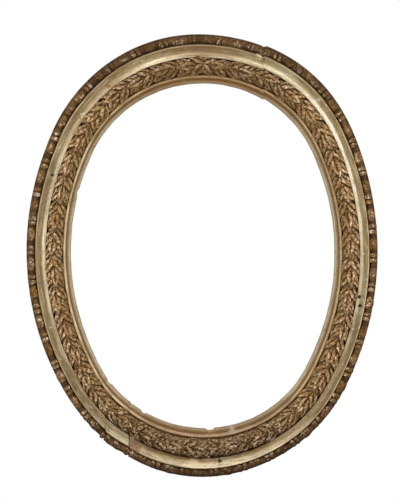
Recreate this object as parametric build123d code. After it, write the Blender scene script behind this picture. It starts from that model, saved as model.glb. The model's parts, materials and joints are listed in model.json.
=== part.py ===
"""Oval picture frame of carved and gilded wood, empty, as it hangs on a wall.

Five carved boards make the front moulding: from the sight edge outwards a lip, a cove, a fillet, a round
carved with laurel, a hollow, and an edge of beads and reels. They are nailed to a plain half-lapped back
frame, which stands back from the sight edge and so leaves the rebate for the picture. The back carries
four wooden turn buttons that keep a picture in and an iron ring in a staple to hang it by.

Millimetres. +X is to the viewer's right, +Z is up and the front faces -Y. While the pieces are made,
the origin is the middle of the oval's widest line, on the back face; at the end everything moves so
that the origin is the point where the ring hangs in its staple.
"""

import os
from math import atan2, cos, degrees, radians, sin

from build123d import *

# Oval at the sight edge: a compass oval of two side arcs and two end arcs, tangent to each other
SIGHT_HALF_WIDTH = 229.0
SIGHT_RISE = 299.0          # from the widest line up to the top
SIGHT_DROP = 311.0          # from the widest line down to the bottom
SIGHT_SIDE_RADIUS = 426.0

# Section of the moulding, from the sight edge outwards: widths of its members
LIP_WIDTH = 7.0
COVE_WIDTH = 3.0
FILLET_WIDTH = 4.0
LAUREL_WIDTH = 31.5
HOLLOW_WIDTH = 18.0
EDGE_FILLET_WIDTH = 2.0
BEAD_WIDTH = 14.5
MOULDING_WIDTH = (LIP_WIDTH + COVE_WIDTH + FILLET_WIDTH + LAUREL_WIDTH + HOLLOW_WIDTH
                  + EDGE_FILLET_WIDTH + BEAD_WIDTH)
LAUREL_MIDDLE = LIP_WIDTH + COVE_WIDTH + FILLET_WIDTH + LAUREL_WIDTH / 2

# Section of the moulding: heights above the back of the boards
SIGHT_HEIGHT = 5.0          # of the upright sight edge
LIP_HEIGHT = 9.0
LIP_CROWN = 0.9             # how far the lip swells out from its chord
COVE_HEIGHT = 15.0
COVE_SAG = 0.9              # how far the cove curves in from its chord
LAUREL_FOOT = 12.5
LAUREL_CREST = 25.5
HOLLOW_RIM = 18.5
HOLLOW_BED = 11.5
EDGE_HEIGHT = 20.5
BEAD_FOOT = 15.0
STRING_CREST = 19.5         # of the round that the beads and reels are strung on
SIDE_HEIGHT = 7.0           # upright part of the outer side
BACK_TAPER = 3.0            # the outer side falls in by this much towards the back

# Carving of the round: sprigs of three laurel leaves, tips downwards on both sides
SPRIGS_PER_SIDE = 20
LEAF_LENGTH = 42.0
LEAF_RADIUS = 5.2           # of the leaf's swelling, about its own axis
LEAF_DEPTH = 2.2            # of that axis, below the face of the round
LEAF_TILT = 3.0             # the tip stands out and the base goes under, degrees
SIDE_LEAF_PLACE = 50.0      # round the round, from its crest, degrees
SIDE_LEAF_TURN = 6.0        # away from the crest, degrees
SIDE_LEAF_BACK = 20.0       # behind the middle leaf
LAUREL_END = 8.0            # the last tips stop so far short of the middle of the bottom

# Carving of the edge: one long bead and two reels in each repeat
EDGE_REPEATS = 42
EDGE_SHIFT = 0.84           # of a repeat, from the top to the first bead
BEAD_LENGTH = 24.0
BEAD_RADIUS = 6.6
REEL_LENGTH = 6.6
REEL_RADIUS = 6.6
REEL_RIM = 5.0              # radius at a reel's two ends
REEL_SPACING = 8.4
STRING_DEPTH = 3.5          # of the beads' axis, below the crest of the round they are strung on

# Joints between the boards: upright cuts at these distances from the middle
TOP_JOINT_RIGHT = 108.0
TOP_JOINT_LEFT = -109.0
BOTTOM_JOINT_RIGHT = 29.0
BOTTOM_JOINT_LEFT = -128.0
REPAIR_JOINT_LEFT = -170.0
JOINT_GAP = 0.6             # the old glue lines have opened

# Back frame
BACK_THICKNESS = 18.0
REBATE_WIDTH = 9.0
BACK_INSET = 5.0            # from the moulding's outer edge
LAP_LENGTH = 46.0
BACK_SEGMENTS = ("upper_right", "top", "upper_left", "lower_left", "bottom", "lower_right")
PEG_DIAMETER = 8.0

# Forged nails, driven from the back into the boards
NAIL_COUNT = 12
NAIL_LENGTH = 34.0
NAIL_SHANK = 4.0
NAIL_TIP = 1.4
NAIL_HEAD_DIAMETER = 9.0
NAIL_HEAD_THICKNESS = 2.0

# Turn buttons and their screws
BUTTON_ANGLES = (30.0, 150.0, 210.0, 330.0)
BUTTON_NAMES = ("upper_right", "upper_left", "lower_left", "lower_right")
BUTTON_LENGTH = 56.0
BUTTON_WIDTH = 14.0
BUTTON_THICKNESS = 6.0
BUTTON_EDGE = 1.2           # worn edge
BUTTON_HOLD = 6.0           # how far a closed button reaches over the rebate
SCREW_SHANK_DIAMETER = 4.0
SCREW_HEAD_DIAMETER = 9.0
SCREW_HEAD_HEIGHT = 3.0
SCREW_DEPTH = 14.0          # in the back frame
SCREW_CLEARANCE = 0.08      # radial, between the button and the screw
FACE_CLEARANCE = 0.3        # between the button and the back frame, and the button and the screw's head

# Hanging ring and its staple
RING_RADIUS = 15.0          # to the middle of its wire
RING_WIRE = 4.4
STAPLE_WIRE = 3.6
STAPLE_CLEARANCE = 0.4      # radial, between the ring's wire and the eye
STAPLE_DEPTH = 15.0         # of its legs in the back frame
RING_BACK_GAP = 4.5         # between the hanging ring and the back frame
RING_HEIGHT = 41.0          # of the eye, above the sight edge at the top

QUARTER_TURN = 90.0
HALF_TURN = 180.0
FULL_TURN = 360.0
WALL_SIDE = Vector(0, 1, 0)
VIEWER_SIDE = Vector(0, -1, 0)
BEYOND = 4 * (SIGHT_RISE + SIGHT_DROP)      # clear of everything, for cutting


def end_radius(reach):
    """Radius of the end arc that is tangent to both side arcs and reaches so far from the widest line."""
    span = 2 * SIGHT_SIDE_RADIUS * SIGHT_HALF_WIDTH - SIGHT_HALF_WIDTH**2 - reach**2
    return span / (2 * (SIGHT_SIDE_RADIUS - reach))


TOP_RADIUS = end_radius(SIGHT_RISE)
BOTTOM_RADIUS = end_radius(SIGHT_DROP)
SIDE_SHIFT = SIGHT_SIDE_RADIUS - SIGHT_HALF_WIDTH
TOP_ANGLE = degrees(atan2(SIGHT_RISE - TOP_RADIUS, SIDE_SHIFT))
BOTTOM_ANGLE = degrees(atan2(SIGHT_DROP - BOTTOM_RADIUS, SIDE_SHIFT))

# Each arc: centre x, centre z, radius at the sight edge, and the directions of its outward normals,
# in degrees from +X towards +Z
ARCS = (
    (-SIDE_SHIFT, 0.0, SIGHT_SIDE_RADIUS, -BOTTOM_ANGLE, TOP_ANGLE),
    (0.0, SIGHT_RISE - TOP_RADIUS, TOP_RADIUS, TOP_ANGLE, HALF_TURN - TOP_ANGLE),
    (SIDE_SHIFT, 0.0, SIGHT_SIDE_RADIUS, HALF_TURN - TOP_ANGLE, HALF_TURN + BOTTOM_ANGLE),
    (0.0, BOTTOM_RADIUS - SIGHT_DROP, BOTTOM_RADIUS, HALF_TURN + BOTTOM_ANGLE, FULL_TURN - BOTTOM_ANGLE),
)


def arc_at(angle):
    """The arc whose outward normal can point in this direction."""
    turned = (angle + BOTTOM_ANGLE) % FULL_TURN - BOTTOM_ANGLE
    return next(arc for arc in ARCS if arc[3] <= turned <= arc[4])


def oval_point(angle, offset, height=0.0):
    """The point whose outward normal points at angle, so far outside the sight edge and above the back."""
    x, z, radius, _, _ = arc_at(angle)
    reach = radius + offset
    return Vector(x + reach * cos(radians(angle)), -height, z + reach * sin(radians(angle)))


def at_oval(angle, offset, height=0.0):
    """A place on the oval with local X outwards, local Y along the oval and local Z towards the wall."""
    outward = Vector(cos(radians(angle)), 0, sin(radians(angle)))
    return Plane(oval_point(angle, offset, height), x_dir=outward, z_dir=WALL_SIDE).location


def oval_length(offset):
    """Way round the oval, so far outside the sight edge."""
    return sum(radians(end - start) * (radius + offset) for _, _, radius, start, end in ARCS)


def angle_round(distance, offset):
    """Direction of the normal so far round from the top, first down the left side and then up the right."""
    right, top, left, bottom = ARCS
    way = ((top, top[4]), (left, left[4]), (bottom, bottom[4]), (right, FULL_TURN + right[4]),
           (top, FULL_TURN + QUARTER_TURN))
    angle = QUARTER_TURN
    for arc, end in way:
        radius = arc[2] + offset
        stretch = radians(end - angle) * radius
        if distance <= stretch:
            return angle + degrees(distance / radius)
        distance -= stretch
        angle = end
    return angle


def carving_place(angle, offset, height, on_left):
    """A place for carving, with local X along the oval towards the bottom and local Z to the viewer."""
    return at_oval(angle, offset, height) * Rot(HALF_TURN, 0, -QUARTER_TURN if on_left else QUARTER_TURN)


def oval_ring(section):
    """Turns a section round all four arcs. section(radius) gives its face, radius across and height up."""
    ring = None
    for x, z, radius, start, end in ARCS:
        outward = Vector(cos(radians(start)), 0, sin(radians(start)))
        plane = Plane((x, 0, z), x_dir=outward, z_dir=outward.cross(VIEWER_SIDE))
        arc = revolve(plane * section(radius), Axis((x, 0, z), VIEWER_SIDE), revolution_arc=end - start)
        ring = arc if ring is None else ring + arc
    return ring


def bowed(start, end, swell):
    """An arc between two points of the section that swells to the viewer's side of its chord, or sinks."""
    chord = end - start
    return ThreePointArc(start, (start + end) / 2 + Vector(-chord.Y, chord.X).normalized() * swell, end)


def moulding_section(radius):
    """Section of the carved boards, from the sight edge outwards and back again."""
    back = BACK_THICKNESS
    lip = radius + LIP_WIDTH
    cove = lip + COVE_WIDTH
    fillet = cove + FILLET_WIDTH
    laurel = fillet + LAUREL_WIDTH
    hollow = laurel + HOLLOW_WIDTH
    edge = hollow + EDGE_FILLET_WIDTH
    outer = edge + BEAD_WIDTH
    sight, lip_top = Vector(radius, back + SIGHT_HEIGHT), Vector(lip, back + LIP_HEIGHT)
    cove_top = Vector(cove, back + COVE_HEIGHT)
    lines = [
        Line((radius, back), sight),
        bowed(sight, lip_top, LIP_CROWN),
        bowed(lip_top, cove_top, -COVE_SAG),
        Line(cove_top, (fillet, back + COVE_HEIGHT)),
        Line((fillet, back + COVE_HEIGHT), (fillet, back + LAUREL_FOOT)),
        ThreePointArc((fillet, back + LAUREL_FOOT), ((fillet + laurel) / 2, back + LAUREL_CREST),
                      (laurel, back + LAUREL_FOOT)),
        Line((laurel, back + LAUREL_FOOT), (laurel, back + HOLLOW_RIM)),
        ThreePointArc((laurel, back + HOLLOW_RIM), ((laurel + hollow) / 2, back + HOLLOW_BED),
                      (hollow, back + EDGE_HEIGHT)),
        Line((hollow, back + EDGE_HEIGHT), (edge, back + EDGE_HEIGHT)),
        Line((edge, back + EDGE_HEIGHT), (edge, back + BEAD_FOOT)),
        ThreePointArc((edge, back + BEAD_FOOT), ((edge + outer) / 2, back + STRING_CREST),
                      (outer, back + BEAD_FOOT)),
        Line((outer, back + BEAD_FOOT), (outer, back + BEAD_FOOT - SIDE_HEIGHT)),
        Line((outer, back + BEAD_FOOT - SIDE_HEIGHT), (outer - BACK_TAPER, back)),
        Line((outer - BACK_TAPER, back), (radius, back)),
    ]
    return make_face(Curve() + lines)


def back_section(radius, low, high):
    """Section of one layer of the back frame."""
    inner = radius + REBATE_WIDTH
    width = MOULDING_WIDTH - BACK_INSET - REBATE_WIDTH
    return Pos(inner + width / 2, (low + high) / 2) * Rectangle(width, high - low)


def spindle(length, radius):
    """A solid that swells from a point to its radius and back, along local X."""
    swell = ThreePointArc((-length / 2, 0), (0, radius), (length / 2, 0))
    return revolve(make_face(Curve() + [swell, Line((length / 2, 0), (-length / 2, 0))]), Axis.X)


def reel():
    """A disc with a rounded rim, along local X."""
    end = REEL_LENGTH / 2
    half = [
        Line((-end, 0), (-end, REEL_RIM)),
        ThreePointArc((-end, REEL_RIM), (0, REEL_RADIUS), (end, REEL_RIM)),
        Line((end, REEL_RIM), (end, 0)),
        Line((end, 0), (-end, 0)),
    ]
    return revolve(make_face(Curve() + half), Axis.X)


def laurel_leaves():
    """Sprigs of three leaves on the round, from the top down both sides."""
    rise = LAUREL_CREST - LAUREL_FOOT
    core = ((LAUREL_WIDTH / 2)**2 + rise**2) / (2 * rise)
    centre = BACK_THICKNESS + LAUREL_CREST - core
    seat = Pos(-LEAF_LENGTH / 2, 0, core - LEAF_DEPTH) * Rot(0, -LEAF_TILT, 0)
    leaf = seat * spindle(LEAF_LENGTH, LEAF_RADIUS)
    step = oval_length(LAUREL_MIDDLE) / 2 / SPRIGS_PER_SIDE
    leaves = []
    for i in range(SPRIGS_PER_SIDE):
        angle = angle_round((i + 1) * step - LAUREL_END, LAUREL_MIDDLE)
        for on_left in (True, False):
            place = carving_place(angle if on_left else HALF_TURN - angle, LAUREL_MIDDLE, centre, on_left)
            leaves.append(place * leaf)
            for way in (-1, 1):
                beside = Rot(way * SIDE_LEAF_PLACE, 0, 0) * Pos(-SIDE_LEAF_BACK, 0, 0)
                leaves.append(place * beside * Rot(0, 0, -way * SIDE_LEAF_TURN) * leaf)
    return leaves


def beads_and_reels():
    """The edge: beads and pairs of reels at even distances all round."""
    middle = MOULDING_WIDTH - BEAD_WIDTH / 2
    axis = BACK_THICKNESS + STRING_CREST - STRING_DEPTH
    step = oval_length(middle) / EDGE_REPEATS
    bead, disc = spindle(BEAD_LENGTH, BEAD_RADIUS), reel()
    carving = []
    for i in range(EDGE_REPEATS):
        first = (i + EDGE_SHIFT) * step
        for shape, distance in ((bead, first), (disc, first + (step - REEL_SPACING) / 2),
                                (disc, first + (step + REEL_SPACING) / 2)):
            angle = angle_round(distance % (step * EDGE_REPEATS), middle)
            carving.append(carving_place(angle, middle, axis, True) * shape)
    return carving


def upright_slab(left, right, low, high):
    """A block between two upright cuts, for dividing the ring into boards."""
    block = Box(right - left, 2 * BEYOND, high - low)
    return Pos((left + right) / 2, 0, (low + high) / 2) * block


def carved_boards(ring, carving):
    """The front moulding, divided at its upright joints, each board with the carving that falls on it."""
    half = JOINT_GAP / 2
    above, below = (0, BEYOND), (-BEYOND, 0)
    regions = {
        "moulding_top_board": [
            (TOP_JOINT_LEFT + half, TOP_JOINT_RIGHT - half, *above),
        ],
        "moulding_right_board": [
            (TOP_JOINT_RIGHT + half, BEYOND, *above),
            (BOTTOM_JOINT_RIGHT + half, BEYOND, *below),
        ],
        "moulding_bottom_board": [
            (BOTTOM_JOINT_LEFT + half, BOTTOM_JOINT_RIGHT - half, *below),
        ],
        "moulding_repair_piece": [
            (REPAIR_JOINT_LEFT + half, BOTTOM_JOINT_LEFT - half, *below),
        ],
        "moulding_left_board": [
            (-BEYOND, TOP_JOINT_LEFT - half, *above),
            (-BEYOND, REPAIR_JOINT_LEFT - half, *below),
        ],
    }
    boards = {}
    for name, slabs in regions.items():
        space = upright_slab(*slabs[0])
        for slab in slabs[1:]:
            space += upright_slab(*slab)
        falling = [piece for piece in carving if any(reaches(piece, slab) for slab in slabs)]
        boards[name] = ((ring & space) + falling) & space
    return boards


def reaches(piece, slab):
    """Whether a piece of carving comes between two upright cuts."""
    left, right, low, high = slab
    extent = piece.bounding_box()
    return extent.max.X > left and extent.min.X < right and extent.max.Z > low and extent.min.Z < high


def lap_shift(angle):
    """Half a lap, as a turn of the oval's normal at this place."""
    radius = arc_at(angle)[2] + MOULDING_WIDTH / 2
    return degrees(LAP_LENGTH / 2 / radius)


def sector(start, end):
    """Everything between two cuts that follow the oval's normals."""
    cuts = []
    for angle in (start, end):
        inside = oval_point(angle, -arc_at(angle)[2] / 2)
        outside = oval_point(angle, BEYOND)
        cuts.append([(inside.X, inside.Z), (outside.X, outside.Z)])
    plane = Plane((0, 0, 0), x_dir=(1, 0, 0), z_dir=VIEWER_SIDE)
    outline = Polyline(*cuts[0], *reversed(cuts[1]), close=True)
    return extrude(plane * make_face(outline), BEYOND, both=True)


def back_frame():
    """Six half-lapped segments: at each lap the wall-side half ends later than the front half."""
    half = BACK_THICKNESS / 2
    wall_layer = oval_ring(lambda radius: back_section(radius, 0, half))
    front_layer = oval_ring(lambda radius: back_section(radius, half, BACK_THICKNESS))
    step = FULL_TURN / len(BACK_SEGMENTS)
    segments = {}
    for i, name in enumerate(BACK_SEGMENTS):
        start, end = i * step, (i + 1) * step
        wall_half = wall_layer & sector(start + lap_shift(start), end + lap_shift(end))
        front_half = front_layer & sector(start - lap_shift(start), end - lap_shift(end))
        segments[f"back_frame_{name}"] = wall_half + front_half
    return segments


def lap_pegs():
    """One wooden peg through each lap of the back frame."""
    middle = (REBATE_WIDTH + MOULDING_WIDTH - BACK_INSET) / 2
    step = FULL_TURN / len(BACK_SEGMENTS)
    peg = Pos(0, 0, -BACK_THICKNESS / 2) * Cylinder(PEG_DIAMETER / 2, BACK_THICKNESS)
    return [at_oval(i * step, middle) * peg for i in range(len(BACK_SEGMENTS))]


def nail():
    """A forged nail with its head flush at local Z 0 and its tip at -NAIL_LENGTH."""
    head = Pos(0, 0, -NAIL_HEAD_THICKNESS / 2) * Cylinder(NAIL_HEAD_DIAMETER / 2, NAIL_HEAD_THICKNESS)
    shank_top = Pos(0, 0, -NAIL_HEAD_THICKNESS) * Rectangle(NAIL_SHANK, NAIL_SHANK)
    shank_tip = Pos(0, 0, -NAIL_LENGTH) * Rectangle(NAIL_TIP, NAIL_TIP)
    return head + loft([shank_top, shank_tip])


def nails():
    """Nails all round, under the crest of the laurel member, where the boards are thickest."""
    step = FULL_TURN / NAIL_COUNT
    return [at_oval((i + 0.5) * step, LAUREL_MIDDLE) * nail() for i in range(NAIL_COUNT)]


def button_pivot():
    """Distance of a turn button's screw outside the sight edge."""
    return REBATE_WIDTH + BUTTON_LENGTH / 2 - BUTTON_HOLD


def turn_button():
    """A wooden turn button at its pivot, lying along local Y, just clear of the back frame at local Z 0."""
    hole = SCREW_SHANK_DIAMETER / 2 + SCREW_CLEARANCE
    outline = Rot(0, 0, QUARTER_TURN) * SlotOverall(BUTTON_LENGTH, BUTTON_WIDTH)
    block = extrude(outline, BUTTON_THICKNESS)
    block = chamfer(block.edges().group_by(Axis.Z)[-1], BUTTON_EDGE)
    block -= Pos(0, 0, BUTTON_THICKNESS / 2) * Cylinder(hole, BUTTON_THICKNESS)
    return Pos(0, 0, FACE_CLEARANCE) * block


def button_screw():
    """A round-headed screw standing in the back frame at local Z 0."""
    head_foot = FACE_CLEARANCE + BUTTON_THICKNESS + FACE_CLEARANCE
    radius, height = SCREW_HEAD_DIAMETER / 2, SCREW_HEAD_HEIGHT
    ball = (radius**2 + height**2) / (2 * height)
    head = Pos(0, 0, head_foot + height - ball) * Sphere(ball)
    head = split(head, Plane((0, 0, head_foot)), keep=Keep.TOP)
    length = SCREW_DEPTH + head_foot
    return head + Pos(0, 0, head_foot - length / 2) * Cylinder(SCREW_SHANK_DIAMETER / 2, length)


def ring_eye():
    """The point where the ring hangs in its staple."""
    return Vector(0, RING_BACK_GAP + RING_WIRE / 2, SIGHT_RISE + RING_HEIGHT)


def hanging_ring():
    """The ring, hanging straight down from the eye."""
    eye = ring_eye()
    ring = Rot(QUARTER_TURN, 0, 0) * Torus(RING_RADIUS, RING_WIRE / 2)
    return Pos(eye.X, eye.Y, eye.Z - RING_RADIUS) * ring


def hanger_staple():
    """A wire staple whose eye stands out of the back, upright, so that the ring passes through it."""
    eye = ring_eye()
    bend = (RING_WIRE + STAPLE_WIRE) / 2 + STAPLE_CLEARANCE
    plane = Plane((eye.X, 0, eye.Z), x_dir=(0, 0, 1), z_dir=(1, 0, 0))
    path = plane * (Curve() + [
        Line((-bend, -STAPLE_DEPTH), (-bend, eye.Y)),
        ThreePointArc((-bend, eye.Y), (0, eye.Y + bend), (bend, eye.Y)),
        Line((bend, eye.Y), (bend, -STAPLE_DEPTH)),
    ])
    wire = Wire(path.edges())
    return sweep(Plane(wire @ 0, z_dir=wire % 0) * Circle(STAPLE_WIRE / 2), wire)


def build():
    """Every node's shape, before the move to the hanging point."""
    boards = carved_boards(oval_ring(moulding_section), laurel_leaves() + beads_and_reels())
    segments = back_frame()
    pegs, fixings, staple = lap_pegs(), nails(), hanger_staple()
    screws = [at_oval(angle, button_pivot()) * button_screw() for angle in BUTTON_ANGLES]
    nodes = {name: board - fixings for name, board in boards.items()}
    for name, segment in segments.items():
        nodes[name] = segment - pegs - fixings - screws - [staple]
    nodes["lap_pegs"] = Compound(pegs)
    nodes["board_nails"] = Compound(fixings)
    nodes["button_screws"] = Compound(screws)
    nodes["hanger_staple"] = staple
    nodes["hanging_ring"] = hanging_ring()
    for name, angle in zip(BUTTON_NAMES, BUTTON_ANGLES):
        nodes[f"turn_button_{name}"] = at_oval(angle, button_pivot()) * turn_button()
    return nodes


def main():
    os.makedirs("parts", exist_ok=True)
    eye = ring_eye()
    for name, shape in build().items():
        export_step(Pos(-eye.X, -eye.Y, -eye.Z) * shape, f"parts/{name}.step")


if __name__ == "__main__":
    main()
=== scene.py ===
"""Looks of the oval carved and gilded picture frame: carving, worn gilding, bare wood and forged iron.

The carved boards, the laurel and the beads are meshes on the same oval as the solids, with the stray of
hand-sawn wood, opened joints, chips and dents. The moulding is worked out in millimetres.
"""

import json
import math
import random

import bpy
import numpy as np
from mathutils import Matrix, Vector, noise

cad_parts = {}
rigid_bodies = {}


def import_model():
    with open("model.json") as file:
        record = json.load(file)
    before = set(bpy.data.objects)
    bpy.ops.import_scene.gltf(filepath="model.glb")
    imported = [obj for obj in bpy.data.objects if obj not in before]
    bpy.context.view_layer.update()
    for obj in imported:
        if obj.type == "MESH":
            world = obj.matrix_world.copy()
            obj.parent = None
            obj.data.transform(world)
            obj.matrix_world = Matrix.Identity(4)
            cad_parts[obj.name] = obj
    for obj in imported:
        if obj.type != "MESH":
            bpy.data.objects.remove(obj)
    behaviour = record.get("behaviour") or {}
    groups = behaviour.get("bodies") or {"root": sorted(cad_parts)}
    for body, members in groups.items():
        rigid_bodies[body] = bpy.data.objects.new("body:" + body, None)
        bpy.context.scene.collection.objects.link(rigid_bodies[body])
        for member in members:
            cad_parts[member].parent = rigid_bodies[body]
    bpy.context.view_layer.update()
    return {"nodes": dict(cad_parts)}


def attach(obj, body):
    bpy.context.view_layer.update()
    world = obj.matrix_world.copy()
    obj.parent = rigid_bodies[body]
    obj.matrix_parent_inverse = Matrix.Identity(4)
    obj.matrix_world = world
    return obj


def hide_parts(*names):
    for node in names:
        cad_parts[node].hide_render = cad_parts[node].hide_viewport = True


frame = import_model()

MM = 0.001
FULL_TURN = 2 * math.pi
CREST = math.pi / 2  # direction of the oval's normal at the top

# Oval at the sight edge, in millimetres, as in the solids
HALF_WIDTH, RISE, DROP, SIDE_RADIUS = 229.0, 299.0, 311.0, 426.0
WIDEST_LINE = -340.0  # height of the oval's widest line, below the hanging point
BACK_FACE = -6.7  # of the back frame, along Y
BOARD_BACK = 18.0  # back of the carved boards, in front of the back face

# How far the sawn boards stray from the compass line: waves round the oval, size, direction of a peak
SIGHT_STRAY = ((0, 0.2, 0), (1, 2.0, -60), (2, 2.4, -7), (3, 0.6, -53))
OUTER_STRAY = ((0, 0.5, 0), (1, 0.9, 27), (2, 2.2, 99), (3, 1.2, 41), (5, 1.2, -28))
LAUREL_STRAY = ((0, 0.3, 0), (1, 4.2, -72))  # where laurel and hollow meet, added to those two
EDGE_STRAY = ((0, -1.7, 0), (1, 2.1, -77))  # where hollow and edge meet, likewise

# Joints between the carved boards, as distances from the middle
TOP_JOINTS = (-109.0, 108.0)
BOTTOM_JOINTS = (-170.0, -128.0, 29.0)
TOP_DARKNESS, BOTTOM_DARKNESS = (0.25, 0.8), (0.8, 1.0, 0.8)  # how plainly each joint shows
JOINT_GAP = 0.1
JOINT_GROOVE, JOINT_GROOVE_DEPTH = 1.5, 2.0  # where a joint opens through the carving
SUNK_JOINT = TOP_JOINTS[1]  # the top board lies lower than the right one here
SUNK_STEP, SUNK_REACH = 2.6, 70.0
NOTCH_REACH, NOTCH_DEPTH = 3.5, 2.6  # in the outer edge at that joint
REPAIR_TILT = (-4.0, 2.2)  # rise of the repair piece's outer edge at its left and right end

# Members of the section, outwards from the sight edge, and heights above the boards' back
FILLET, LAUREL, EDGE, OUTER = 14.0, 45.5, 65.5, 80.0
LAUREL_MIDDLE = (FILLET + LAUREL) / 2
CORE_CENTRE, CORE_RADIUS = 9.5, 13.6
BEAD_MIDDLE = (EDGE + OUTER) / 2
BEAD_CENTRE = 16.0
STRING_CENTRE, STRING_RADIUS = 15.0, 5.0  # of the round that the beads are strung on
STATION, PATH_STEP = 2.2, 2.0  # steps of the boards' meshes and of the carving's paths
SHARP = math.radians(38)  # edges with a greater turn than this stay sharp
UV_PER_MM = 0.01
PLAIN_BACK_V = 0.9  # where the boards' backs lie in their UV map

# The carver's hand: its slow waves across and up, its dents, and the waves of the sight edge
WAVE_ACROSS, WAVE_UP, DENT, SIGHT_WAVE = 0.55, 0.45, 0.25, 0.5
FRONT_FOOT = 4.0  # the waves and dents fade out towards this height

# Laurel: sprigs down both sides, each of seven leaves
SPRIGS_PER_SIDE = 20
FIRST_SPRIG = 20.0  # from the top to the middle of the first sprig
SPRIG_PATTERNS = 5
LEAF_ROWS, LEAF_COLUMNS = 16, 10
LEAF_UNDER = -1.6  # the leaves' undersides lie within the round
LEAF_GROOVES, GROOVE_DEPTH, MIDRIB_DEPTH = 1.4, 0.4, 1.2
LEAF_RIM = 0.7  # raised rim inside the outline
LAST_TIP = 15.0  # the last sprigs' tips cross the middle of the bottom by this
SPRIG_REACH = 23.0  # from a sprig's middle to its tip
RUBBED_FROM, RUBBED_OVER = 240.0, 70.0  # below the widest line the carving is worn down
RUBBED_DEPTH = 1.0

# A leaf: length, width, rise, place along and across, turn, bend, height of its foot, lift of its tip
CENTRE_LEAF = (31.0, 14.5, 3.0, -8.0, 0.0, 0.0, 0.0, 0.2, 2.6)
SIDE_LEAVES = (  # on one side of a sprig; the other side mirrors them
    (31.0, 16.5, 2.8, -24.0, 2.5, 0.6, -1.0, 0.9, 0.8),
    (28.0, 15.0, 2.0, -6.0, 11.0, 0.3, 0.0, 0.0, 0.0),
    (25.0, 14.0, 2.2, 2.0, 2.5, 0.56, 0.0, 0.5, 0.6),
)
CENTRE_SWAY, SIDE_SWAY = 2.0, 3.0  # how far off their places the leaves may lie

# Edge: one long bead and two reels in each repeat
EDGE_REPEATS = 42
EDGE_START = 0.41  # of a repeat, from the top to the middle of the first one
EDGE_PATTERNS = 5
TURNED_SIDES = 14
BEAD_HALF, BEAD_RADIUS, BEAD_PLACE = 13.4, 7.5, -11.6
BEAD_END, BEAD_FULLNESS = 0.8, 0.65
HALF_REEL = [(3.7, 3.4), (3.5, 5.8), (2.6, 7.0), (0.8, 7.4)]  # distance from its middle, radius
REEL_PLACES = (8.0, 16.4)
BEAD_TONE, REEL_TONE = 0.65, 0.8

# Camera and picture
PICTURE = (400, 504)
MM_PER_PIXEL = 1.75
PICTURE_CENTRE = (-4.1, -1.2)  # from the middle of the widest line
PICTURE_PLANE = 15.0  # height above the boards' back where that scale holds
CAMERA_DISTANCE = 3.2  # from that plane, in metres

# Lamps: place from the middle of the picture's plane and size, in metres, and power
LAMPS = {
    "lamp_above": ((0.0, -0.72, 1.2), (1.0, 0.3), 11.0),
    "lamp_left": ((-1.05, -0.72, 0.1), (0.3, 0.9), 9.6),
    "lamp_right": ((1.05, -0.72, 0.1), (0.3, 0.9), 9.6),
    "lamp_behind": ((0.3, 1.64, 0.74), (1.2, 1.2), 16.0),
}
AMBIENT = 0.16
FLOOR, FLOOR_LEVEL = ((-3.0, -3.0), (3.0, -3.0), (3.0, 2.0), (-3.0, 2.0)), -1.1


def from_picture(across, down):
    """Place on the front, from the middle of the widest line, of a point in the picture."""
    return ((across - PICTURE[0] / 2) * MM_PER_PIXEL + PICTURE_CENTRE[0],
            (PICTURE[1] / 2 - down) * MM_PER_PIXEL + PICTURE_CENTRE[1])


# Damage: chips out of the sight edge (place, length, depth), and holes in the hollow (place, radius)
SIGHT_CHIPS = (
    (from_picture(79, 192), 12.0, 2.2),
    (from_picture(109, 382), 11.0, 2.0),
    (from_picture(130, 406), 9.0, 2.0),
    (from_picture(143, 413), 10.0, 2.4),
    (from_picture(210, 428), 16.0, 2.8),
)
CHIP_REACH = 9.0  # no chip goes further from the sight edge
HOLES = (
    (from_picture(52, 175), 2.4),
    (from_picture(359, 297), 3.2),
    (from_picture(360, 306), 2.8),
    (from_picture(220, 461), 3.4),
)
HOLE_DEPTH = 2.5

# Stretches of the hollow in tones of their own, the first a painted sheen of glare: place, radius, width
# of the soft rim
SHEEN = (from_picture(335, 150), 110.0, 90.0)
TARNISH = (from_picture(92, 100), 90.0, 70.0)
TAN_TOP = ((8.0, 345.0), 62.0, 70.0)


def end_radius(reach):
    """Radius of the end arc that is tangent to both side arcs."""
    span = 2 * SIDE_RADIUS * HALF_WIDTH - HALF_WIDTH**2 - reach**2
    return span / (2 * (SIDE_RADIUS - reach))


TOP_RADIUS, BOTTOM_RADIUS = end_radius(RISE), end_radius(DROP)
SIDE_SHIFT = SIDE_RADIUS - HALF_WIDTH
TOP_ANGLE = math.atan2(RISE - TOP_RADIUS, SIDE_SHIFT)
BOTTOM_ANGLE = math.atan2(DROP - BOTTOM_RADIUS, SIDE_SHIFT)


def arc_at(angle):
    """Centre and sight radius of the arc whose outward normal points at angle, from +X towards +Z."""
    turned = (angle + math.pi / 2) % FULL_TURN - math.pi / 2
    if -BOTTOM_ANGLE <= turned <= TOP_ANGLE:
        return -SIDE_SHIFT, 0.0, SIDE_RADIUS
    if TOP_ANGLE < turned < math.pi - TOP_ANGLE:
        return 0.0, RISE - TOP_RADIUS, TOP_RADIUS
    if math.pi - TOP_ANGLE <= turned <= math.pi + BOTTOM_ANGLE:
        return SIDE_SHIFT, 0.0, SIDE_RADIUS
    return 0.0, BOTTOM_RADIUS - DROP, BOTTOM_RADIUS


def on_oval(angle, offset):
    """Point of the true oval, from the middle of its widest line."""
    x, z, radius = arc_at(angle)
    return x + (radius + offset) * math.cos(angle), z + (radius + offset) * math.sin(angle)


def waves(angle, strays):
    """How far out waves round the oval carry a point."""
    return sum(size * math.cos(count * (angle - math.radians(peak))) for count, size, peak in strays)


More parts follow.
